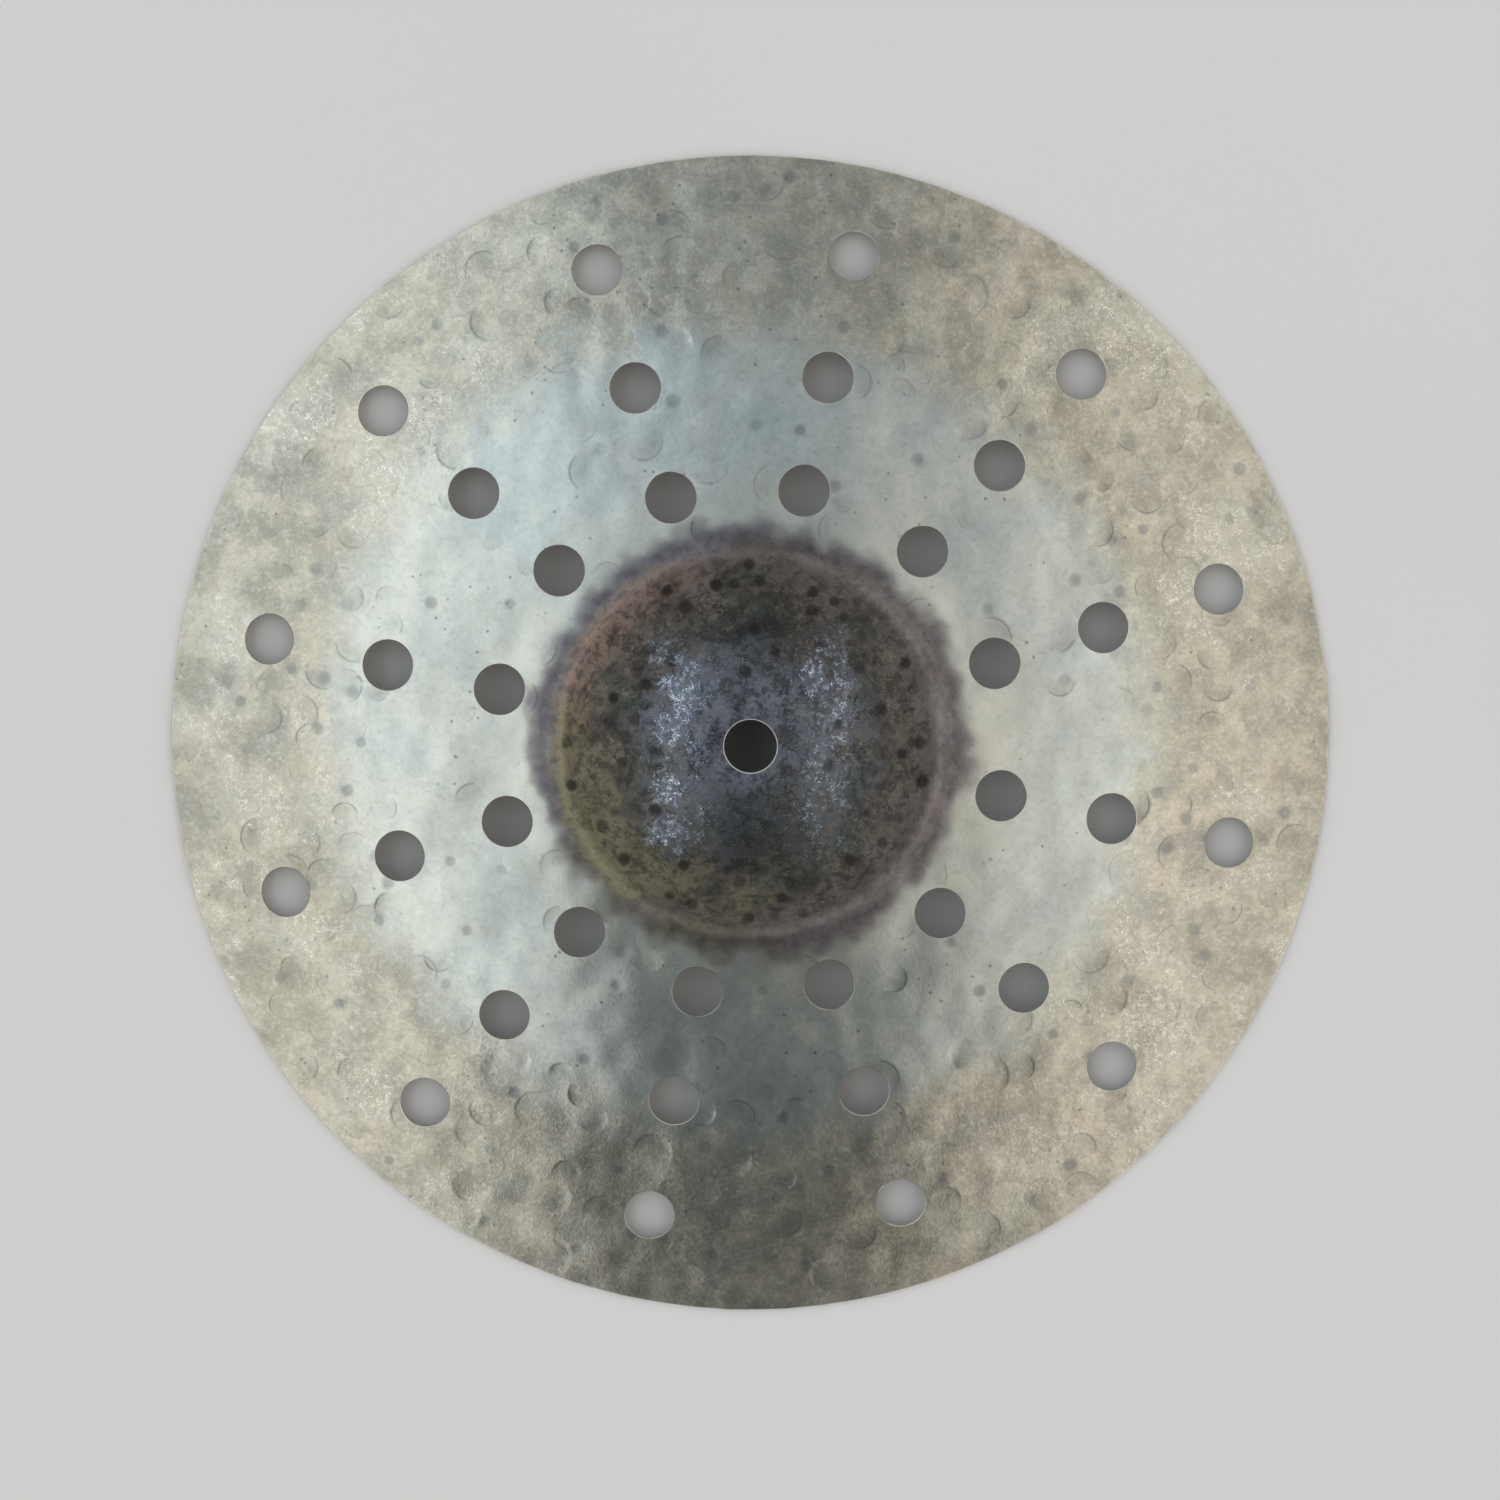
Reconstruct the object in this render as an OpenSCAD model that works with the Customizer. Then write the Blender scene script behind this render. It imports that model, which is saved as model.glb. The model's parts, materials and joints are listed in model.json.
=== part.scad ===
// Hand-hammered effects cymbal: one thin sheet of bell bronze with three rings of drilled holes.
// +Z runs up through the bell. The origin is on the axis, in the plane that the rim rests on.

/* [Cymbal] */
// Diameter of the rim
cymbal_d = 254; // [240:2:306]
// Thickness of the bronze sheet
wall = 0.8; // [0.6:0.1:1.4]
// Rise of the bow from the rim to the foot of the bell
bow_rise = 11; // [8:0.5:15]

/* [Bell] */
// Diameter of the bell at its foot
bell_d = 82; // [76:1:88]
// Rise of the bell above its foot
bell_rise = 14; // [11:0.5:16]
// Diameter of the flat seat around the mounting hole
seat_d = 16; // [14:1:20]
// Radius of the hollow curve around the foot of the bell
foot_fillet = 8; // [5:0.5:10]
// Diameter of the mounting hole
mount_hole_d = 11.1; // [10:0.1:13]

/* [Effect holes] */
// Diameter of each drilled hole
effect_hole_d = 11; // [9:0.5:12]
// Number of holes in each ring
holes_per_ring = 12; // [6:1:12]
// Radius of the inner ring, as a fraction of the rim's radius
inner_ring = 0.435; // [0.43:0.005:0.46]
// Radius of the middle ring, as a fraction of the rim's radius
middle_ring = 0.631; // [0.6:0.001:0.66]
// Radius of the outer ring, as a fraction of the rim's radius
outer_ring = 0.843; // [0.8:0.001:0.88]
// Angle of the first hole from +X
first_hole_angle = 18; // [0:1:30]

/* [Hidden] */

arc_fn = 256;
hole_fn = 96;
drill_margin = 1;

rim_r = cymbal_d / 2;
bell_r = bell_d / 2;
seat_r = seat_d / 2;
bell_top_z = bow_rise + bell_rise;

// The bow's underside is an arc centred on the axis, through the rim and the foot of the bell.
bow_depth_at_foot = ((pow(rim_r, 2) - pow(bell_r, 2)) / bow_rise + bow_rise) / 2;
bow_arc_r = norm([bell_r, bow_depth_at_foot]);
bow_centre = [0, bow_rise - bow_depth_at_foot];

// The bell's underside is an arc from the edge of the flat seat down to the foot.
bell_arc_r = (pow(bell_r - seat_r, 2) + pow(bell_rise, 2)) / (2 * bell_rise);
bell_centre = [seat_r, bell_top_z - bell_arc_r];

// The foot's hollow curve touches both arcs, so its centre is a known distance from each of theirs.
fillet_to_bell = bell_arc_r + wall + foot_fillet;
fillet_to_bow = bow_arc_r + wall + foot_fillet;
fillet_centre = circles_meet(bell_centre, fillet_to_bell, bow_centre, fillet_to_bow);

// The outer one of the two points where a circle at a meets a circle at b, with b below a.
function circles_meet(a, a_r, b, b_r) =
    let (span = norm(b - a))
    let (along = (pow(a_r, 2) - pow(b_r, 2) + pow(span, 2)) / (2 * span))
    let (aside = sqrt(pow(a_r, 2) - pow(along, 2)))
    let (towards = (b - a) / span)
    a + along * towards + aside * [-towards.y, towards.x];

// Everything below a surface that follows the sheet, a given height above its underside.
module below_surface(height) {
    difference() {
        union() {
            translate(bow_centre)
                circle(r = bow_arc_r + height, $fn = arc_fn);
            translate(bell_centre)
                circle(r = bell_arc_r + height, $fn = arc_fn);
            translate([0, bell_centre.y])
                square([seat_r, bell_arc_r + height]);
            polygon([bow_centre, fillet_centre, bell_centre]);
        }
        translate(fillet_centre)
            circle(r = foot_fillet + wall - height, $fn = arc_fn);
    }
}

// Half of the sheet's cross-section, from the axis to the rim.
module sheet_section() {
    intersection() {
        difference() {
            below_surface(wall);
            below_surface(0);
        }
        square([rim_r, bell_top_z + wall + drill_margin]);
    }
}

// A straight drill through the whole height of the cymbal.
module drill(diameter) {
    translate([0, 0, -drill_margin])
        cylinder(d = diameter, h = bell_top_z + wall + 2 * drill_margin, $fn = hole_fn);
}

module ring_of_drills(ring_r) {
    for (i = [0 : holes_per_ring - 1])
        rotate(first_hole_angle + i * 360 / holes_per_ring)
            translate([ring_r, 0, 0])
                drill(effect_hole_d);
}

module cymbal() {
    color("#a89f78")
        difference() {
            rotate_extrude($fn = arc_fn)
                sheet_section();
            drill(mount_hole_d);
            for (fraction = [inner_ring, middle_ring, outer_ring])
                ring_of_drills(fraction * rim_r);
        }
}

cymbal();
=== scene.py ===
"""A small hand-hammered effects cymbal: one thin sheet of bell bronze with rings of drilled holes.

The sheet is triangulated in plan, with extra points along every hammer mark and hole, and then lifted
onto the bell and bow. One procedural material gives the bronze, its patina, the heat-darkened bell and
the bare edges, as well as painted shade in the hammer marks and painted glints and reflection at the sides.
"""

import json
import math

import bpy
import numpy as np
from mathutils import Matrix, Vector
from mathutils.geometry import delaunay_2d_cdt


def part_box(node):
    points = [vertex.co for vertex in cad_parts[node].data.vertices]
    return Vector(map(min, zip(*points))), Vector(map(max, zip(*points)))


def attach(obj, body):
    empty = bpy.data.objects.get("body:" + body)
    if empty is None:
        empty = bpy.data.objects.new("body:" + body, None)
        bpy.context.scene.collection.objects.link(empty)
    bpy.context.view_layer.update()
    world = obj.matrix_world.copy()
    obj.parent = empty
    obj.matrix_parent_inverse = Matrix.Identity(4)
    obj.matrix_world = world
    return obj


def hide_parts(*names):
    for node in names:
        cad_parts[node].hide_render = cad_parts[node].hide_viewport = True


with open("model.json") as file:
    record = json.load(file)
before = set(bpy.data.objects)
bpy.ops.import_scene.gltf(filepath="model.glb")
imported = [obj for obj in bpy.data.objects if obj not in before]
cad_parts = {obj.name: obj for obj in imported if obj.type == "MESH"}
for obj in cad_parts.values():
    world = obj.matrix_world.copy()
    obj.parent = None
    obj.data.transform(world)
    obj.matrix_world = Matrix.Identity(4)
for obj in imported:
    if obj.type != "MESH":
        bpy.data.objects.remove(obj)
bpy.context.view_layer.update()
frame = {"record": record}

MM = 0.001  # the sheet is worked out in millimetres and made in metres

# ---------------------------------------------------------------- the cymbal's dimensions, in millimetres

low_corner, high_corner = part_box("cymbal")
mount_of = {mount["name"]: mount for mount in frame["record"]["mounts"]}
RIM_R = (high_corner.x - low_corner.x) / 2 / MM
TOP_Z = high_corner.z / MM
WALL = mount_of["mounting_hole"]["dims"]["length_mm"]
MOUNT_HOLE_R = mount_of["mounting_hole"]["dims"]["r_mm"]

BOW_RISE = 11.0
BELL_R = 41.0
SEAT_R = 8.0
FOOT_FILLET = 8.0
EFFECT_HOLE_R = 5.5
HOLES_PER_RING = 12
FIRST_HOLE_ANGLE = math.radians(18)
RING_RADII = [fraction * RIM_R for fraction in (0.435, 0.631, 0.843)]

EDGE_BREAK = 0.10  # how far the sharp edge of each hole and of the rim is broken

# ---------------------------------------------------------------- the mesh's fineness, in millimetres

HOLE_SIDES = 48
RIM_SIDES = 720
TOP_SPACING = 1.27
UNDER_SPACING = 2.0
LATTICE_SHAKE = 0.16  # as a share of the spacing
MARK_STEP = 0.55  # between points along a crescent
MARK_GAP = 0.2  # the least room for each point along a mark
FILL_GAP = 0.5  # between those points and the lattice that fills the rest
CRESCENT_ROWS = (0.92, 0.99, 1.06, 1.15)  # radii of the rows of points, as shares of the mark's own
DOT_ROWS = ((0.6, 8), (1.12, 13))  # the same for a punch mark, and how many points
TOP_EDGE_GUIDES = (0.15, 0.6, 1.2)  # distances of the rows of points beside each edge
UNDER_EDGE_GUIDES = (0.5,)
EDGE_CLEARANCE = 0.3
SHARP_ANGLE = math.radians(38)

# ---------------------------------------------------------------- the sheet's section


def circles_meet(a, a_r, b, b_r):
    """The outer one of the two points where a circle at a meets a circle at b, with b below a."""
    span = np.linalg.norm(b - a)
    along = (a_r**2 - b_r**2 + span**2) / (2 * span)
    aside = math.sqrt(a_r**2 - along**2)
    towards = (b - a) / span
    return a + along * towards + aside * np.array([-towards[1], towards[0]])


bell_top = TOP_Z - WALL
bell_rise = bell_top - BOW_RISE
bow_depth_at_foot = ((RIM_R**2 - BELL_R**2) / BOW_RISE + BOW_RISE) / 2
bow_arc_r = math.hypot(BELL_R, bow_depth_at_foot)
bow_centre = np.array([0.0, BOW_RISE - bow_depth_at_foot])
bell_arc_r = ((BELL_R - SEAT_R) ** 2 + bell_rise**2) / (2 * bell_rise)
bell_centre = np.array([SEAT_R, bell_top - bell_arc_r])
fillet_to_bell = bell_arc_r + WALL + FOOT_FILLET
fillet_to_bow = bow_arc_r + WALL + FOOT_FILLET
fillet_centre = circles_meet(bell_centre, fillet_to_bell, bow_centre, fillet_to_bow)


def section(r, above):
    """Height of the surface that lies `above` the sheet's underside, and its slope outwards, at radius r."""
    short_of_upright = 0.99  # keeps the slopes of the arcs finite where another part of the section holds
    bell_r = bell_arc_r + above
    bow_r = bow_arc_r + above
    fillet_r = FOOT_FILLET + WALL - above
    bell_end = bell_centre[0] + (fillet_centre[0] - bell_centre[0]) * bell_r / fillet_to_bell
    bow_start = fillet_centre[0] * bow_r / fillet_to_bow
    on_bell = np.clip(r - SEAT_R, 0, bell_r * short_of_upright)
    on_fillet = np.clip(r - fillet_centre[0], -fillet_r * short_of_upright, fillet_r * short_of_upright)
    bell_drop = np.sqrt(bell_r**2 - on_bell**2)
    fillet_drop = np.sqrt(fillet_r**2 - on_fillet**2)
    bow_drop = np.sqrt(bow_r**2 - r**2)
    parts = [r < bell_end, r < bow_start]
    height = np.select(
        parts, [bell_centre[1] + bell_drop, fillet_centre[1] - fillet_drop], bow_centre[1] + bow_drop
    )
    slope = np.select(parts, [-on_bell / bell_drop, on_fillet / fillet_drop], -r / bow_drop)
    return height, slope


# ---------------------------------------------------------------- hammering

SEED = 36
TRIES_PER_POINT = 12
WARP_HEIGHT = 0.16
SWELL_HEIGHTS = (0.020, 0.028)  # on the whole sheet, and added on the bow
PLANISH_HEIGHTS = (0.008, 0.006, 0.009)  # on the whole sheet, and added on the bow and the outer bow
BELL_EDGE_R = 44.0  # where the bell's hammering gives way to the bow's
BOW_START_R = 56.0
OUTER_BOW = (72.0, 92.0)  # where the inner bow's hammering gives way to the outer bow's
INNER_CRESCENT_DEPTH = 0.35  # of the crescents near the bell, as a share of their depth further out
HELD_WIDTH = 12.0  # of the band beside the rim that warps less

rng = np.random.default_rng(SEED)


def smooth(value, low, high):
    """0 below low, 1 above high, and a smooth step between them."""
    t = np.clip((value - low) / (high - low), 0, 1)
    return t * t * (3 - 2 * t)


def scatter(count, gap, inner_r, outer_r):
    """Random points in a ring of the plan, none nearer than gap to another."""
    found = np.empty((0, 2))
    for _ in range(count * TRIES_PER_POINT):
        if len(found) == count:
            break
        r = math.sqrt(rng.uniform(inner_r**2, outer_r**2))
        angle = rng.uniform(0, 2 * math.pi)
        point = np.array([r * math.cos(angle), r * math.sin(angle)])
        if len(found) == 0 or np.min(np.hypot(*(found - point).T)) > gap:
            found = np.vstack([found, point])
    return found


def random_waves(wavelength, count):
    """A smooth random height of about unit size, as the sum of plane waves that run in all directions."""
    angle = rng.uniform(0, 2 * math.pi, count)
    length = wavelength * rng.uniform(0.7, 1.4, count)
    shift = rng.uniform(0, 2 * math.pi, count)

    def height(x, y):
        total = np.zeros_like(x)
        for a, size, s in zip(angle, length, shift):
            total += np.cos((x * math.cos(a) + y * math.sin(a)) * 2 * math.pi / size + s)
        return total * math.sqrt(2 / count)

    return height


# Wavelength in millimetres, and how many waves.
warp = random_waves(70, 14)
swell = random_waves(24, 20)
planish = random_waves(9, 60)

# Overlapping shallow blows of the planishing hammer, all over the bow.
dimples = scatter(420, 5.5, BELL_EDGE_R, RIM_R - 2)
dimple_r = rng.uniform(3.2, 5.5, len(dimples))
dimple_depth = rng.uniform(0.018, 0.062, len(dimples))

# Blows of a round-faced hammer that landed tilted: a dish that ends in a crescent on its deep side.
crescents = np.vstack(
    [scatter(16, 7.0, 45.5, 52), scatter(30, 7.5, 53, 80), scatter(240, 5.6, 80, RIM_R - 3)]
)
crescent_r = rng.uniform(2.6, 4.4, len(crescents))
crescent_turn = rng.uniform(0, 2 * math.pi, len(crescents))
crescent_depth = rng.uniform(0.018, 0.070, len(crescents))
crescent_reach = rng.uniform(0.8, 2.0, len(crescents))
# How dark each crescent is drawn: dirt along its line, and painted shade there and over the deep side of its
# dish.
crescent_dirt_and_shade = rng.uniform(0.35, 1.0, len(crescents))

# Small round punch marks on the bow, and deeper ones on the bell.
bow_dots = np.vstack([scatter(24, 5.0, 50, 82), scatter(90, 5.0, 82, RIM_R - 4)])
bell_dots = scatter(54, 3.6, 15, 39.5)
dots = np.vstack([bow_dots, bell_dots])
dot_r = rng.uniform(1.25, 1.75, len(dots))
dot_depth = np.append(
    rng.uniform(0.01, 0.04, len(bow_dots)), rng.uniform(0.03, 0.08, len(bell_dots))
)
dot_dirt = rng.uniform(0.5, 1.0, len(dots))


class Plan:
    """Points of the plan, sorted so that those near a mark are quick to find."""

    def __init__(self, x, y):
        self.x, self.y = x, y
        self.order = np.argsort(x)
        self.sorted_x = x[self.order]

    def near(self, centre, reach):
        first, last = np.searchsorted(self.sorted_x, [centre[0] - reach, centre[0] + reach])
        candidates = self.order[first:last]
        distance = np.hypot(self.x[candidates] - centre[0], self.y[candidates] - centre[1])
        return candidates[distance < reach]


def hammering(x, y, crisp):
    """At plan points, how far the hammer moved the sheet along its normal, and how dark creases and dots are.

    The crease darkness is dirt along each crescent's line, with painted shade there and over the deep side of
    its dish.
    The underside takes the marks from the back, so with crisp False they are softer and leave no dirt or
    painted shade.
    """
    plan = Plan(x, y)
    r = np.hypot(x, y)
    on_bow = smooth(r, BELL_EDGE_R, BOW_START_R)
    on_outer_bow = smooth(r, *OUTER_BOW)
    held_at_rim = 1 - 0.6 * smooth(r, RIM_R - HELD_WIDTH, RIM_R)
    relief = WARP_HEIGHT * warp(x, y) * on_bow * held_at_rim
    relief += (SWELL_HEIGHTS[0] + SWELL_HEIGHTS[1] * on_bow) * swell(x, y)
    planish_height = PLANISH_HEIGHTS[0] + PLANISH_HEIGHTS[1] * on_bow + PLANISH_HEIGHTS[2] * on_outer_bow
    relief += planish_height * planish(x, y)
    crease = np.zeros_like(x)
    dot = np.zeros_like(x)
    for centre, size, depth in zip(dimples, dimple_r, dimple_depth):
        near = plan.near(centre, size * 1.5)
        distance = np.hypot(x[near] - centre[0], y[near] - centre[1]) / size
        relief[near] -= depth * (1 - smooth(distance, 0.2, 1.25))
    for centre, size, turn, depth, reach, darkness in zip(
        crescents, crescent_r, crescent_turn, crescent_depth, crescent_reach, crescent_dirt_and_shade
    ):
        near = plan.near(centre, size * 1.6)
        outer = smooth(math.hypot(*centre), 70, 90)
        depth = depth * (INNER_CRESCENT_DEPTH + (1 - INNER_CRESCENT_DEPTH) * outer)
        u, v = (x[near] - centre[0]) / size, (y[near] - centre[1]) / size
        distance = np.hypot(u, v)
        along = u * math.cos(turn) + v * math.sin(turn)
        facing = smooth(along / (distance + 0.05), math.cos(reach), 1)
        if crisp:
            dish = smooth(along, -0.9, 1.0) * (1 - smooth(distance, 0.92, 1.06))
            lip = 0.15 * facing * np.exp(-(((distance - 1.15) / 0.09) ** 2))
            relief[near] += depth * (lip - dish)
            # The crescent's line is darkened by dirt and painted shade, and the deep side of its dish by
            # painted shade.
            line = facing * np.exp(-(((distance - 0.99) / 0.06) ** 2))
            shade = 0.5 * smooth(along, -0.5, 1.0) * (1 - smooth(distance, 0.80, 1.0))
            crease[near] = np.maximum(crease[near], darkness * np.maximum(line, shade))
        else:
            relief[near] -= depth * 0.6 * np.exp(-((distance / 0.75) ** 2))
    for centre, size, depth, darkness in zip(dots, dot_r, dot_depth, dot_dirt):
        near = plan.near(centre, size * 1.6)
        distance = np.hypot(x[near] - centre[0], y[near] - centre[1]) / size
        if crisp:
            relief[near] -= depth * (1 - smooth(distance, 0.55, 1.1))
            dot[near] = np.maximum(dot[near], darkness * (1 - smooth(distance, 0.55, 1.18)))
        else:
            relief[near] -= depth * 0.5 * np.exp(-(distance**2))
    return relief, crease, dot


# ---------------------------------------------------------------- the plan's points


def circle(centre, radius, count):
    angle = np.arange(count) * 2 * math.pi / count
    return np.column_stack([centre[0] + radius * np.cos(angle), centre[1] + radius * np.sin(angle)])


def hole_centres():
    """Centre and radius of every hole, the mounting hole first."""
    holes = [((0.0, 0.0), MOUNT_HOLE_R)]
    for ring_r in RING_RADII:
        for i in range(HOLES_PER_RING):
            angle = FIRST_HOLE_ANGLE + i * 2 * math.pi / HOLES_PER_RING
            holes.append(((ring_r * math.cos(angle), ring_r * math.sin(angle)), EFFECT_HOLE_R))
    return holes


HOLES = hole_centres()


def lattice(spacing):
    """A slightly shaken triangular lattice over the whole plan."""
    rows = int(2 * RIM_R / (spacing * math.sqrt(3) / 2)) + 2
    columns = int(2 * RIM_R / spacing) + 2
    row, column = np.meshgrid(np.arange(rows), np.arange(columns), indexing="ij")
    x = -RIM_R + (column + 0.5 * (row % 2)) * spacing
    y = -RIM_R + row * spacing * math.sqrt(3) / 2
    points = np.column_stack([x.ravel(), y.ravel()])
    return points + rng.uniform(-LATTICE_SHAKE, LATTICE_SHAKE, points.shape) * spacing


def mark_points():
    """Points along the edges of the hammer marks, so that the mesh follows them."""
    rows = []
    for centre, size, turn, reach in zip(crescents, crescent_r, crescent_turn, crescent_reach):
        count = int(size * reach * 2 / MARK_STEP)
        angle = turn + np.linspace(-reach, reach, count)
        for share in CRESCENT_ROWS:
            row_r = share * size
            rows.append(
                np.column_stack([centre[0] + row_r * np.cos(angle), centre[1] + row_r * np.sin(angle)])
            )
    for centre, size in zip(dots, dot_r):
        rows += [circle(centre, size * share, count) for share, count in DOT_ROWS]
    return np.vstack(rows)


def clear_of_edges(points, margin):
    """The points that lie on the sheet, at least margin inside the rim and outside every hole."""
    keep = np.hypot(*points.T) < RIM_R - margin
    for centre, radius in HOLES:
        keep &= np.hypot(points[:, 0] - centre[0], points[:, 1] - centre[1]) > radius + margin
    return points[keep]


def square_of(points, side, shift=(0, 0)):
    """A number for the square of the given side that each point lies in, or for the one shifted from it."""
    square = np.floor(points / side).astype(int) + shift
    more_than_any_row = 100003
    return square[:, 0] * more_than_any_row + square[:, 1]


def thinned(points, gap):
    """The points without those that share a small square with an earlier one."""
    _, first = np.unique(square_of(points, gap), return_index=True)
    return points[np.sort(first)]


def away_from(points, others, gap):
    """The points that aren't within about gap of any of the others."""
    taken = set()
    for dx in (-1, 0, 1):
        for dy in (-1, 0, 1):
            taken.update(square_of(others, gap, (dx, dy)).tolist())
    return points[np.array([square not in taken for square in square_of(points, gap).tolist()])]


def edge_circles(set_back):
    """A circle of points beside the rim and beside each hole, set back from the true edge into the sheet."""
    beside_holes = [circle(centre, radius + set_back, HOLE_SIDES) for centre, radius in HOLES]
    return [circle((0, 0), RIM_R - set_back, RIM_SIDES)] + beside_holes


def triangulate(fill, edge_guides):
    """Triangles of the plan between the rim and the holes.

    The first points are the loops: the rim's, then each hole's, all set back from the true edge by
    EDGE_BREAK. The guides are more rows of points, at the given distances from the loops.
    """
    loops = edge_circles(EDGE_BREAK)
    guides = [guide for distance in edge_guides for guide in edge_circles(EDGE_BREAK + distance)]
    edges = np.vstack(loops + guides)
    inner_fill = clear_of_edges(fill, edge_guides[-1] + EDGE_CLEARANCE)
    points = np.vstack([edges, away_from(inner_fill, edges, EDGE_CLEARANCE)])
    constraints = []
    start = 0
    for loop in loops:
        size = len(loop)
        constraints += [(start + i, start + (i + 1) % size) for i in range(size)]
        start += size
    all_triangles, tolerance = 0, 1e-7
    placed, _, faces, _, _, _ = delaunay_2d_cdt(
        [Vector(p) for p in points], constraints, [], all_triangles, tolerance, False
    )
    assert len(placed) == len(points), "two points of the plan coincide"
    faces = np.array(faces)
    middle = points[faces].mean(axis=1)
    inside = np.hypot(*middle.T) < RIM_R - EDGE_BREAK
    for centre, radius in HOLES:
        from_centre = np.hypot(middle[:, 0] - centre[0], middle[:, 1] - centre[1])
        inside &= from_centre > radius + EDGE_BREAK * 0.99
    return points, faces[inside], [len(loop) for loop in loops]


# ---------------------------------------------------------------- the sheet


def lifted(x, y, above, relief):
    """Plan points lifted onto a surface of the sheet, and moved along its normal by the hammering."""
    r = np.hypot(x, y)
    height, slope = section(r, above)
    lean = slope / np.sqrt(1 + slope**2)
    upright = 1 / np.sqrt(1 + slope**2)
    out = np.maximum(r, 1e-6)
    aside = relief * lean
    return np.column_stack([x - aside * x / out, y - aside * y / out, height + relief * upright])


def edge_profile(rounded):
    """Steps down an edge, from the top face to the underside.

    Each gives how far out it is, in EDGE_BREAKs, and how far down, as a share of the wall.
    """
    turn = EDGE_BREAK / WALL
    if not rounded:
        return [(1.0, turn), (1.0, 1 - turn)]
    return [(0.7, 0.3 * turn), (1.0, turn), (1.0, 1 - turn), (0.7, 1 - 0.3 * turn)]


def build_sheet():
    """The mesh: the top face, the underside, and the edge of the rim and of each hole between them."""
    fine = thinned(mark_points(), MARK_GAP)
    top_fill = np.vstack([fine, away_from(lattice(TOP_SPACING), fine, FILL_GAP)])
    top_plan, top_faces, loop_sizes = triangulate(top_fill, TOP_EDGE_GUIDES)
    under_plan, under_faces, _ = triangulate(lattice(UNDER_SPACING), UNDER_EDGE_GUIDES)

    relief, crease, dot = hammering(*top_plan.T, crisp=True)
    under_relief, _, _ = hammering(*under_plan.T, crisp=False)
    vertices = [lifted(*top_plan.T, WALL, relief), lifted(*under_plan.T, 0.0, under_relief)]
    bare = [np.zeros(len(top_plan)), np.zeros(len(under_plan))]
    creases = [crease, np.zeros(len(under_plan))]
    dot_marks = [dot, np.zeros(len(under_plan))]
    under_start = len(top_plan)
    faces = [top_faces, under_faces[:, ::-1] + under_start]

    for face_bare in bare:
        face_bare[: sum(loop_sizes)] = 1.0

    next_vertex = len(top_plan) + len(under_plan)
    loop_start = 0
    for number, size in enumerate(loop_sizes):
        is_rim = number == 0
        loop = np.arange(loop_start, loop_start + size)
        centre = (0.0, 0.0) if is_rim else HOLES[number - 1][0]
        away = (top_plan[loop] - centre) / np.linalg.norm(top_plan[loop] - centre, axis=1)[:, None]
        outwards = away if is_rim else -away
        rows = [loop]
        for out, share in edge_profile(rounded=is_rim):
            plan = top_plan[loop] + outwards * EDGE_BREAK * out
            high = lifted(*plan.T, WALL, relief[loop])
            low = lifted(*plan.T, 0.0, under_relief[loop])
            vertices.append(high + (low - high) * share)
            bare.append(np.ones(size))
            creases.append(np.zeros(size))
            dot_marks.append(np.zeros(size))
            rows.append(np.arange(next_vertex, next_vertex + size))
            next_vertex += size
        rows.append(loop + under_start)
        for upper, lower in zip(rows, rows[1:]):
            upper_next, lower_next = np.roll(upper, -1), np.roll(lower, -1)
            if is_rim:
                faces.append(np.column_stack([upper, lower, lower_next]))
                faces.append(np.column_stack([upper, lower_next, upper_next]))
            else:
                faces.append(np.column_stack([upper, lower_next, lower]))
                faces.append(np.column_stack([upper, upper_next, lower_next]))
        loop_start += size

    mesh = bpy.data.meshes.new("bronze_sheet")
    mesh.from_pydata((np.vstack(vertices) * MM).tolist(), [], np.vstack(faces).tolist())
    for name, values in (("bare_edge", bare), ("crease", creases), ("dot", dot_marks)):
        layer = mesh.attributes.new(name, "FLOAT", "POINT")
        layer.data.foreach_set("value", np.concatenate(values).astype(np.float32))
    mesh.shade_smooth()
    mesh.set_sharp_from_angle(angle=SHARP_ANGLE)
    sheet = bpy.data.objects.new("bronze_sheet", mesh)
    bpy.context.scene.collection.objects.link(sheet)
    return sheet


# ---------------------------------------------------------------- nodes


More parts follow.
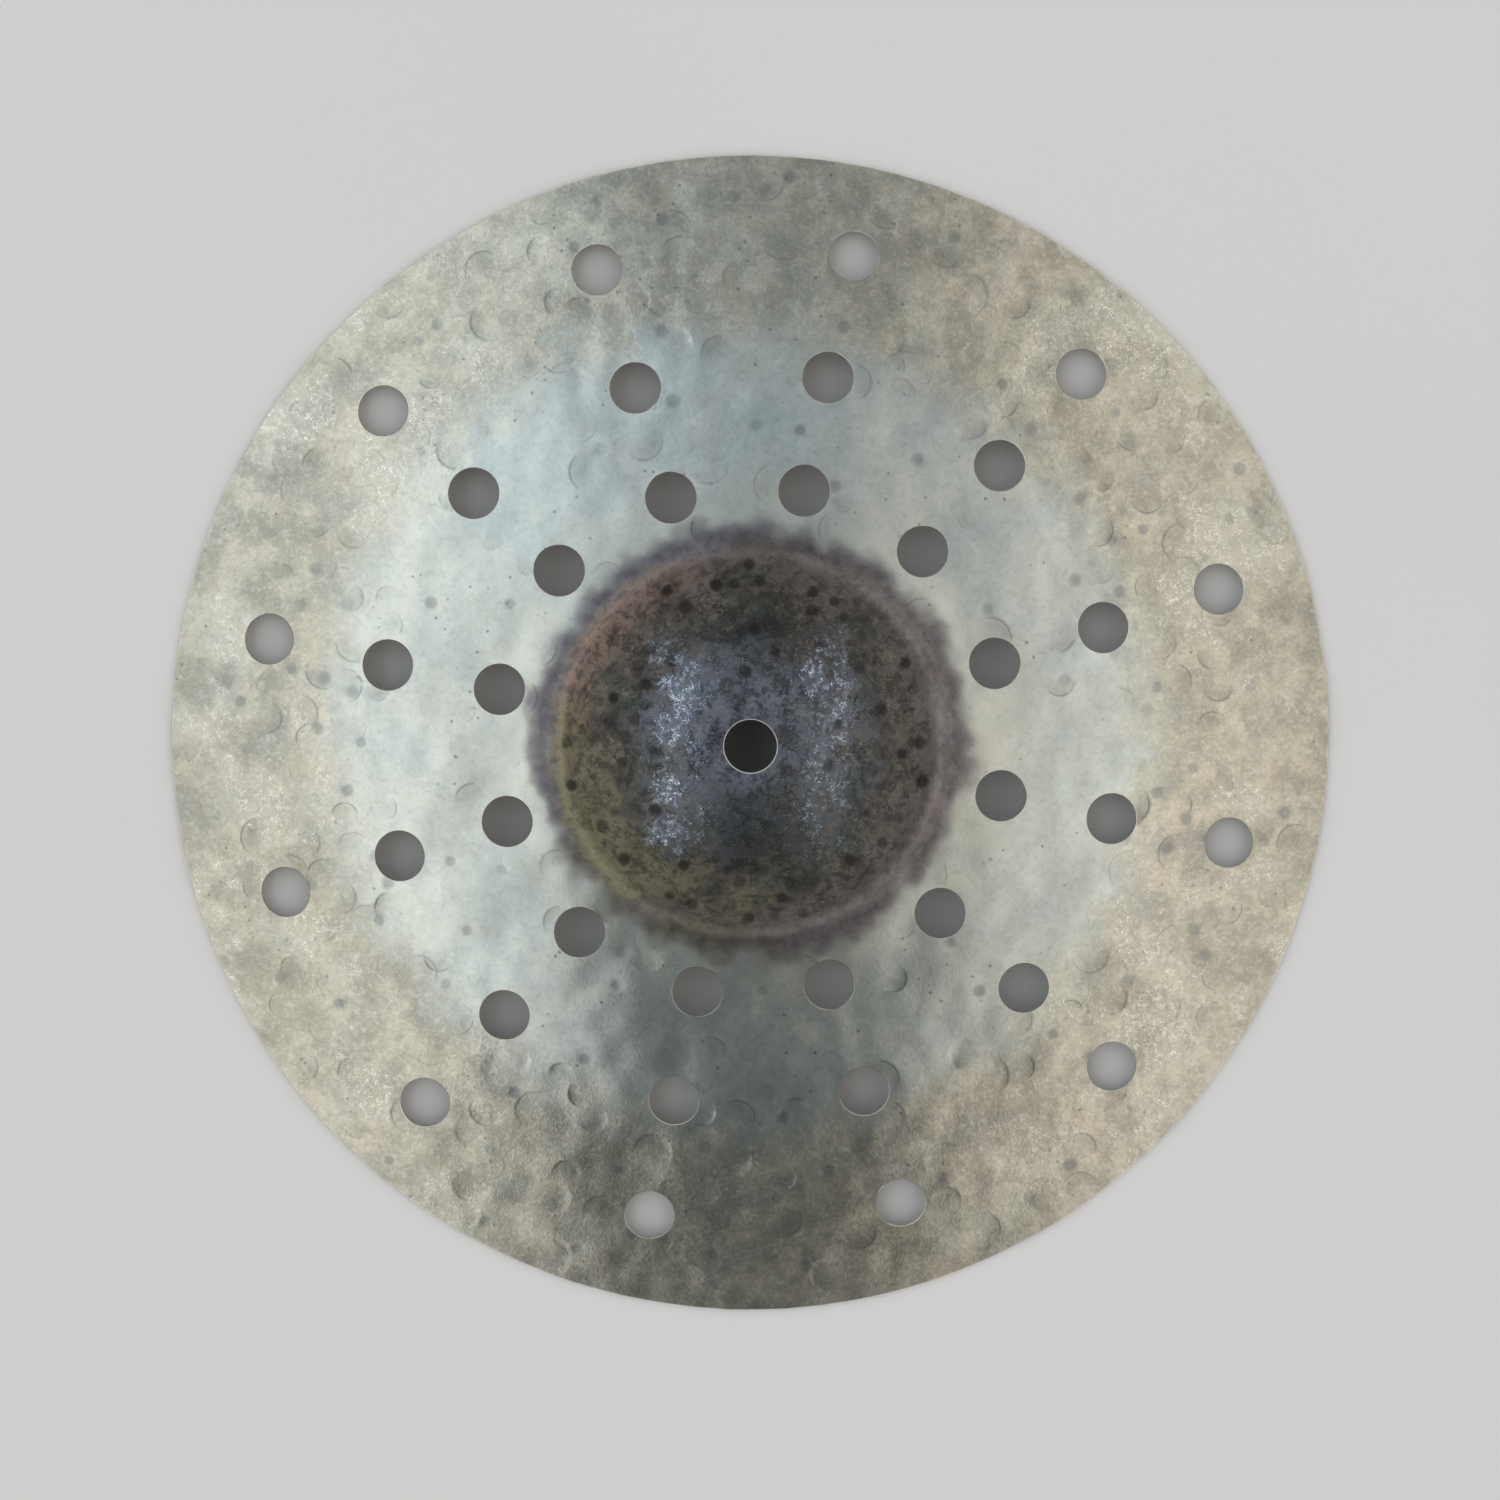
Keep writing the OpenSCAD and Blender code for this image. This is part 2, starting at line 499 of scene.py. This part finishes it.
class Nodes:
    """Short calls for making and joining the nodes of a material or of the world."""

    def __init__(self, owner):
        owner.use_nodes = True
        self.tree = owner.node_tree

    def join(self, value, socket):
        if isinstance(value, bpy.types.NodeSocket):
            self.tree.links.new(value, socket)
        else:
            socket.default_value = value

    def math(self, operation, a, b=0.0, clamp=False):
        node = self.tree.nodes.new("ShaderNodeMath")
        node.operation = operation
        node.use_clamp = clamp
        self.join(a, node.inputs[0])
        self.join(b, node.inputs[1])
        return node.outputs[0]

    def swing(self, value, size):
        """A value from 0 to 1, turned into one from -size/2 to size/2."""
        return self.math("MULTIPLY", self.math("SUBTRACT", value, 0.5), size)

    def product(self, *values):
        result = values[0]
        for value in values[1:]:
            result = self.math("MULTIPLY", result, value)
        return result

    def step(self, value, low, high, to_low=0.0, to_high=1.0):
        """A smooth step of value from to_low to to_high."""
        node = self.tree.nodes.new("ShaderNodeMapRange")
        node.interpolation_type = "SMOOTHSTEP"
        for index, setting in enumerate((value, low, high, to_low, to_high)):
            self.join(setting, node.inputs[index])
        return node.outputs[0]

    def mix(self, share, a, b):
        """The colour a, with this share of the colour b."""
        node = self.tree.nodes.new("ShaderNodeMix")
        node.data_type = "RGBA"
        self.join(share, node.inputs["Factor"])
        for value, name in ((a, "A"), (b, "B")):
            socket = next(s for s in node.inputs if s.name == name and s.type == "RGBA")
            self.join((*value, 1.0) if isinstance(value, tuple) else value, socket)
        return next(s for s in node.outputs if s.type == "RGBA")

    def noise(self, place, size, detail=3.0, roughness=0.55, distortion=0.0, output="Fac"):
        """Noise from 0 to 1 whose features are about size across."""
        node = self.tree.nodes.new("ShaderNodeTexNoise")
        self.join(place, node.inputs["Vector"])
        node.inputs["Scale"].default_value = 1 / size
        node.inputs["Detail"].default_value = detail
        node.inputs["Roughness"].default_value = roughness
        node.inputs["Distortion"].default_value = distortion
        return node.outputs[output]

    def cells(self, place, size, output="Distance", feature="F1"):
        """A field of cells about size across."""
        node = self.tree.nodes.new("ShaderNodeTexVoronoi")
        node.feature = feature
        self.join(place, node.inputs["Vector"])
        node.inputs["Scale"].default_value = 1 / size
        return node.outputs[output]

    def shaken(self, place, size, distance):
        """The place, moved about by up to distance by noise of the given size."""
        offset = self.noise(place, size, 2, 0.5, output="Color")
        offset = self.vector("SUBTRACT", offset, (0.5, 0.5, 0.5))
        return self.vector("ADD", place, self.vector("MULTIPLY", offset, (2 * distance,) * 3))

    def ramp(self, value, stops):
        """A colour ramp, with stops of (place, colour)."""
        node = self.tree.nodes.new("ShaderNodeValToRGB")
        elements = node.color_ramp.elements
        while len(elements) < len(stops):
            elements.new(0.5)
        for element, (place, colour) in zip(elements, stops):
            element.position = place
            element.color = (*colour, 1.0)
        self.join(value, node.inputs["Fac"])
        return node.outputs["Color"]

    def vector(self, operation, a, b=(0.0, 0.0, 0.0)):
        node = self.tree.nodes.new("ShaderNodeVectorMath")
        node.operation = operation
        self.join(a, node.inputs[0])
        self.join(b, node.inputs[1])
        return node.outputs["Value"] if operation in ("LENGTH", "DOT_PRODUCT") else node.outputs["Vector"]

    def attribute(self, name):
        node = self.tree.nodes.new("ShaderNodeAttribute")
        node.attribute_name = name
        return node.outputs["Fac"]

    def bump(self, height, distance):
        node = self.tree.nodes.new("ShaderNodeBump")
        node.inputs["Strength"].default_value = 1.0
        node.inputs["Distance"].default_value = distance
        self.join(height, node.inputs["Height"])
        return node.outputs["Normal"]


# ---------------------------------------------------------------- material

CRINKLE_HEIGHT = 0.00020  # in metres


def bell_bronze():
    """The bronze of both faces, with its places, sizes and radii in millimetres."""
    material = bpy.data.materials.new("bell_bronze")
    n = Nodes(material)
    shader = n.tree.nodes["Principled BSDF"]
    metres = n.tree.nodes.new("ShaderNodeTexCoord").outputs["Object"]
    place = n.vector("MULTIPLY", metres, (1 / MM,) * 3)
    flat = n.vector("MULTIPLY", place, (1.0, 1.0, 0.0))
    r = n.vector("LENGTH", flat)
    heading = n.vector("NORMALIZE", flat)

    broad = n.noise(place, 34, 3)
    cloud = n.noise(place, 17, 3, 0.5)
    patch = n.noise(place, 9, 4, 0.6)
    mottle = n.noise(place, 3.0, 4, 0.65, 0.4)
    dab = n.noise(n.shaken(place, 5, 2), 1.7, 3, 0.6)
    grain = n.noise(place, 0.7, 3, 0.6)

    # Bow: smooth, cool and greenish inside the middle ring of holes, rougher and yellower outside it.
    wander = n.swing(patch, 22.0)
    to_upper_left = n.vector("DOT_PRODUCT", heading, (-0.88, 0.48, 0.0))
    wander = n.math("SUBTRACT", wander, n.product(n.step(to_upper_left, 0.2, 0.9), 6.0))
    outward = n.step(n.math("ADD", r, wander), 77, 95)
    cool = n.mix(n.step(cloud, 0.36, 0.62), (0.56, 0.60, 0.57), (0.62, 0.63, 0.575))
    cool = n.mix(n.product(n.step(patch, 0.42, 0.70), 0.5), cool, (0.67, 0.69, 0.65))
    olive = n.mix(n.step(patch, 0.36, 0.64), (0.405, 0.370, 0.295), (0.570, 0.525, 0.42))
    peach = n.product(n.step(broad, 0.50, 0.64), n.step(patch, 0.36, 0.60), n.step(dab, 0.20, 0.55))
    warm = n.mix(n.product(peach, 0.7), olive, (0.635, 0.545, 0.435))
    grey = n.noise(n.vector("ADD", place, (90.0, 40.0, 0.0)), 15, 4, 0.6)
    warm = n.mix(n.product(n.step(cloud, 0.50, 0.66), 0.65), warm, (0.57, 0.55, 0.455))
    warm = n.mix(n.product(n.step(grey, 0.52, 0.66), 0.75), warm, (0.360, 0.343, 0.298))
    bow = n.mix(outward, cool, warm)
    rough_share = n.math("ADD", 0.30, n.product(outward, 0.70))
    bow = n.mix(n.product(n.step(mottle, 0.48, 0.72), 0.52, rough_share), bow, (0.33, 0.33, 0.28))
    bow = n.mix(n.product(n.step(dab, 0.50, 0.70), 0.30), bow, (0.72, 0.74, 0.68))
    bow = n.mix(n.product(n.step(dab, 0.50, 0.32), 0.22), bow, (0.36, 0.37, 0.34))
    bow = n.mix(n.product(n.step(grain, 0.48, 0.74), 0.32, rough_share), bow, (0.72, 0.69, 0.60))
    bow = n.mix(n.product(n.step(grain, 0.48, 0.28), 0.34, rough_share), bow, (0.29, 0.29, 0.25))

    # Hammer marks are darkened along their crescents, partly by dirt and partly by painted shade, and over
    # the deep side of each dish by painted shade; the small punch marks are grey.
    crease = n.attribute("crease")
    dot = n.attribute("dot")
    bow = n.mix(n.product(crease, 0.85), bow, (0.19, 0.19, 0.165))
    bow = n.mix(n.product(dot, 0.6), bow, (0.20, 0.21, 0.21))

    # Fine dark pits, in loose groups.
    pit = n.step(n.cells(flat, 2.8), 0.17, 0.08)
    pit = n.product(pit, n.step(n.cells(flat, 2.8, "Color"), 0.50, 0.56), n.step(cloud, 0.44, 0.52))
    bow = n.mix(n.product(pit, 0.65), bow, (0.17, 0.17, 0.16))

    # Painted highlights on the outer bow at its left and right: a lighter sheen, and bright glints along fine
    # hairlines.
    sideways = n.math("ABSOLUTE", n.vector("DOT_PRODUCT", heading, (1.0, 0.0, 0.0)))
    side_highlight = n.product(n.step(n.noise(place, 16, 3, 0.6), 0.48, 0.60), outward, n.step(sideways, 0.30, 0.75))
    contour = n.math("ABSOLUTE", n.math("SUBTRACT", n.noise(place, 1.15, 2, 0.6, 1.5), 0.5))
    hair = n.product(n.step(contour, 0.036, 0.008), n.step(n.noise(place, 1.5, 2), 0.46, 0.56))
    bow_glints = n.product(hair, side_highlight)
    bow = n.mix(n.product(side_highlight, 0.25), bow, (0.70, 0.66, 0.56))
    bow = n.mix(n.product(bow_glints, 0.85), bow, (0.95, 0.91, 0.82))

    # A pale, slightly warm halo where the heat tint of the bell dies out on the bow.
    halo = n.product(n.step(r, 62, 50), n.step(mottle, 0.30, 0.60))
    bow = n.mix(n.product(halo, 0.65), bow, (0.70, 0.69, 0.60))

    # Bell: dark oxide, bluish on the crown, brown and green below, then a purple-brown ring at its foot.
    sway = n.swing(patch, 12.0)
    drift = n.swing(cloud, 14.0)
    heat = n.ramp(
        n.math("DIVIDE", n.math("ADD", r, n.math("ADD", sway, drift)), 50.0),
        [
            (0.16, (0.232, 0.243, 0.290)),
            (0.30, (0.132, 0.140, 0.168)),
            (0.54, (0.060, 0.058, 0.056)),
            (0.67, (0.082, 0.074, 0.064)),
            (0.80, (0.155, 0.135, 0.125)),
            (0.90, (0.200, 0.176, 0.186)),
        ],
    )
    green = n.product(n.step(n.noise(place, 12, 3), 0.50, 0.62), n.step(r, 16, 24), n.step(r, 40, 34))
    heat = n.mix(n.product(green, 0.6), heat, (0.044, 0.060, 0.050))
    to_front_left = n.vector("DOT_PRODUCT", heading, (-0.64, -0.77, 0.0))
    ochre = n.product(n.step(to_front_left, 0.45, 0.95), n.step(r, 22, 34), n.step(patch, 0.32, 0.55))
    heat = n.mix(n.product(ochre, 0.75), heat, (0.150, 0.142, 0.088))
    tint_r = n.math("ADD", r, n.swing(mottle, 5.0))
    foot = n.product(n.step(tint_r, 33.0, 38.0), n.step(tint_r, 44.0, 41.0))
    to_lower_left = n.vector("DOT_PRODUCT", heading, (-0.93, -0.37, 0.0))
    smudge = n.product(n.step(n.noise(place, 4.5, 4, 0.65), 0.48, 0.62), n.step(r, 34, 40), 0.5)
    heat = n.mix(smudge, heat, (0.085, 0.074, 0.084))
    tint = n.product(foot, n.step(dab, 0.36, 0.52), 0.8)
    violet = n.product(n.step(tint_r, 43.0, 45.0), n.step(to_upper_left, 0.1, 0.8), 0.7)
    heat = n.mix(violet, heat, (0.150, 0.140, 0.175))
    heat = n.mix(n.product(tint, n.step(to_upper_left, 0.60, 0.98)), heat, (0.265, 0.190, 0.150))
    heat = n.mix(n.product(tint, n.step(to_lower_left, 0.70, 0.96)), heat, (0.205, 0.195, 0.115))
    soot = n.product(n.step(mottle, 0.44, 0.62), n.step(r, 42, 35, 0.3, 0.7))
    heat = n.mix(soot, heat, (0.036, 0.032, 0.028))
    heat = n.mix(n.product(n.step(mottle, 0.46, 0.28), 0.5), heat, (0.130, 0.115, 0.092))
    pale_dab = n.product(n.step(dab, 0.52, 0.66), n.step(patch, 0.40, 0.56), 0.5)
    heat = n.mix(pale_dab, heat, (0.155, 0.138, 0.108))
    dust = n.product(n.step(grain, 0.52, 0.72), n.step(patch, 0.42, 0.62))
    heat = n.mix(n.product(dust, 0.45), heat, (0.24, 0.22, 0.17))
    crack = n.cells(n.shaken(place, 2.0, 0.9), 1.6, feature="DISTANCE_TO_EDGE")
    crack = n.product(n.step(crack, 0.10, 0.03), n.step(n.noise(place, 4, 3), 0.50, 0.60), n.step(r, 40, 35))
    heat = n.mix(n.product(crack, 0.5), heat, (0.020, 0.018, 0.016))
    heat = n.mix(n.product(dot, 0.9), heat, (0.022, 0.021, 0.020))

    # Painted reflection on the crown: two patchy bands beside the hole, at left and right, are tinted bluish
    # and glint along bright hairlines, fainter to the front right, and are smoother; in front of the hole it
    # is darker and greener.
    across = n.math("ABSOLUTE", n.vector("DOT_PRODUCT", flat, (1.0, 0.0, 0.0)))
    along = n.math("ABSOLUTE", n.vector("DOT_PRODUCT", flat, (0.0, 1.0, 0.0)))
    across = n.math("ADD", across, n.swing(mottle, 14.0))
    along = n.math("ADD", along, n.math("MULTIPLY", sway, 1.5))
    painted_glint_bands = n.product(n.step(across, 8, 14), n.step(across, 24, 18), n.step(along, 27, 16))
    painted_glint_bands = n.product(painted_glint_bands, n.step(n.noise(place, 6, 3, 0.6), 0.40, 0.62))
    to_front_right = n.vector("DOT_PRODUCT", heading, (0.60, -0.80, 0.0))
    painted_glint_bands = n.product(painted_glint_bands, n.step(to_front_right, 0.3, 0.9, 1.0, 0.45))
    to_front = n.vector("DOT_PRODUCT", heading, (0.17, -0.98, 0.0))
    darker_in_front = n.product(n.step(to_front, 0.3, 0.9), n.step(r, 6, 12), n.step(r, 27, 18))
    heat = n.mix(n.product(darker_in_front, 0.5), heat, (0.075, 0.080, 0.072))
    bell_glints = n.product(hair, n.math("ADD", painted_glint_bands, n.product(n.step(r, 25, 17), 0.22), clamp=True))
    # Painted bluish reflection in the bands, then painted bright glints along the hairlines.
    heat = n.mix(n.product(painted_glint_bands, 0.35), heat, (0.17, 0.22, 0.30))
    heat = n.mix(n.product(bell_glints, 0.85), heat, (0.74, 0.77, 0.83))

    ragged = n.swing(n.noise(place, 7.0, 1.5, 0.5), 9.0)
    ragged = n.math("SUBTRACT", ragged, n.product(crease, 2.0))
    on_bell = n.step(n.math("ADD", r, ragged), 51.5, 43.5)
    on_bell = n.product(on_bell, n.step(n.math("ADD", n.product(mottle, 0.45), on_bell), 0.05, 0.95))
    colour = n.mix(on_bell, bow, heat)

    # The edges of the holes and rim are bare in places, and the mounting hole's is bare and bright all round.
    bright = n.step(r, 8, 7)
    bare_share = n.math("ADD", n.step(n.noise(place, 6, 2), 0.44, 0.60, 0.1, 0.9), bright, clamp=True)
    bare = n.product(n.attribute("bare_edge"), bare_share)
    colour = n.mix(bare, colour, n.mix(bright, (0.66, 0.63, 0.52), (0.92, 0.92, 0.88)))
    n.join(colour, shader.inputs["Base Color"])

    glinting_hairlines = n.math("ADD", bow_glints, bell_glints, clamp=True)
    rough = n.math("ADD", 0.19, n.math("MULTIPLY", patch, 0.06))
    rough = n.math("ADD", rough, n.product(outward, 0.02))
    rough = n.math("ADD", rough, n.product(on_bell, 0.10))
    rough = n.math("SUBTRACT", rough, n.product(painted_glint_bands, 0.18))
    rough = n.math("ADD", rough, n.product(dot, on_bell, 0.15))
    rough = n.math("SUBTRACT", rough, n.product(glinting_hairlines, 0.08))
    n.join(rough, shader.inputs["Roughness"])
    shader.inputs["Metallic"].default_value = 1.0

    # Fine crinkle of the unlathed, hammered skin, strongest in the painted highlights at the outer bow's
    # sides and in the bands beside the bell's hole.
    crinkle_share = n.math("ADD", 0.08, n.product(outward, 0.12))
    crinkle_share = n.math("ADD", crinkle_share, n.product(side_highlight, 0.35))
    crinkle_share = n.math("ADD", crinkle_share, n.product(painted_glint_bands, 0.4))
    crinkle = n.product(n.noise(place, 1.2, 4, 0.6, 0.8), crinkle_share)
    n.join(n.bump(crinkle, CRINKLE_HEIGHT), shader.inputs["Normal"])
    return material


# ---------------------------------------------------------------- floor, light and camera, in metres

FLOOR_HALF = 3.0
FLOOR_Z = -0.0002  # just under the rim, so that the two don't share a plane
CAMERA_PLACE = (-0.0001, 0.025, 0.5)
CAMERA_TILT = math.radians(-3.11)
LENS_MM = 54.6
SENSOR_MM = 36.0


def pale_floor():
    material = bpy.data.materials.new("pale_floor")
    n = Nodes(material)
    shader = n.tree.nodes["Principled BSDF"]
    place = n.tree.nodes.new("ShaderNodeTexCoord").outputs["Object"]
    tone = n.noise(place, 0.35, 3)
    n.join(n.mix(tone, (0.715, 0.69, 0.675), (0.765, 0.74, 0.725)), shader.inputs["Base Color"])
    shader.inputs["Roughness"].default_value = 0.8
    mesh = bpy.data.meshes.new("floor")
    corners = [(x * FLOOR_HALF, y * FLOOR_HALF, FLOOR_Z) for x, y in ((-1, -1), (1, -1), (1, 1), (-1, 1))]
    mesh.from_pydata(corners, [], [(0, 1, 2, 3)])
    mesh.materials.append(material)
    floor = bpy.data.objects.new("floor", mesh)
    bpy.context.scene.collection.objects.link(floor)


def studio():
    """A pale tent, dimmer in front, behind and near the horizon, with a broad panel overhead on each side.

    Each panel has a brighter tube along it. The gap between the panels runs from front to back. It widens
    towards both ends, and is dimmest in front.
    """
    world = bpy.data.worlds.new("studio")
    bpy.context.scene.world = world
    n = Nodes(world)

    direction = n.tree.nodes.new("ShaderNodeTexCoord").outputs["Generated"]
    split = n.tree.nodes.new("ShaderNodeSeparateXYZ")
    n.join(direction, split.inputs[0])
    # A direction's place in the sky: u to the right and v to the back, as on a flat ceiling of height 1.
    up = n.math("MAXIMUM", split.outputs["Z"], 0.15)
    u = n.math("DIVIDE", split.outputs["X"], up)
    v = n.math("DIVIDE", split.outputs["Y"], up)
    from_zenith = n.math("SQRT", n.math("ADD", n.product(u, u), n.product(v, v)))

    spread = n.math("MULTIPLY", n.math("MAXIMUM", n.math("SUBTRACT", n.math("ABSOLUTE", v), 0.2), 0.0), 0.18)
    gap = n.mix(n.step(v, -0.15, 0.25), (0.080, 0.096, 0.105), (0.36, 0.41, 0.45))
    left = n.mix(n.step(v, -0.1, 0.3), (0.86, 0.90, 0.92), (0.88, 1.02, 1.12))
    right = n.mix(n.step(v, -0.1, 0.3), (0.78, 0.76, 0.72), (0.68, 0.68, 0.66))
    narrowing = n.math("MULTIPLY", n.step(v, -0.05, 0.2), 0.045)
    left_place = n.math("SUBTRACT", n.math("ADD", u, spread), narrowing)
    panels = n.mix(n.step(left_place, -0.06, -0.26), gap, left)
    panels = n.mix(n.step(n.math("SUBTRACT", u, spread), 0.05, 0.27), panels, right)
    in_reach = n.math("SUBTRACT", 1.0, n.step(n.math("ABSOLUTE", v), 0.55, 0.75))
    for tube_u, colour in ((-0.46, (1.42, 1.45, 1.42)), (0.52, (1.34, 1.34, 1.30))):
        off = n.math("ABSOLUTE", n.math("SUBTRACT", u, tube_u))
        tube = n.math("MULTIPLY", n.math("SUBTRACT", 1.0, n.step(off, 0.04, 0.12)), in_reach)
        panels = n.mix(tube, panels, colour)
    to_side = n.math("DIVIDE", n.math("ABSOLUTE", u), from_zenith)
    wall = n.mix(n.step(to_side, 0.25, 0.85), (0.85, 0.85, 0.87), (1.25, 1.25, 1.24))
    wall = n.mix(n.step(from_zenith, 2.0, 5.0), wall, (0.66, 0.67, 0.69))
    tent = n.mix(n.step(from_zenith, 0.85, 1.5), panels, wall)
    background = n.tree.nodes["Background"]
    n.join(tent, background.inputs["Color"])
    background.inputs["Strength"].default_value = 1.0


def camera():
    """Looks down from half a metre up and slightly behind the bell, with +Y at the top of the picture."""
    data = bpy.data.cameras.new("camera")
    data.sensor_width = SENSOR_MM
    data.lens = LENS_MM
    cam = bpy.data.objects.new("camera", data)
    cam.location = CAMERA_PLACE
    cam.rotation_euler = (CAMERA_TILT, 0.0, 0.0)
    bpy.context.scene.collection.objects.link(cam)
    bpy.context.scene.camera = cam


bpy.context.scene.view_settings.view_transform = "Standard"
camera()
studio()
pale_floor()

sheet = build_sheet()
sheet.data.materials.append(bell_bronze())
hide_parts("cymbal")
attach(sheet, "root")
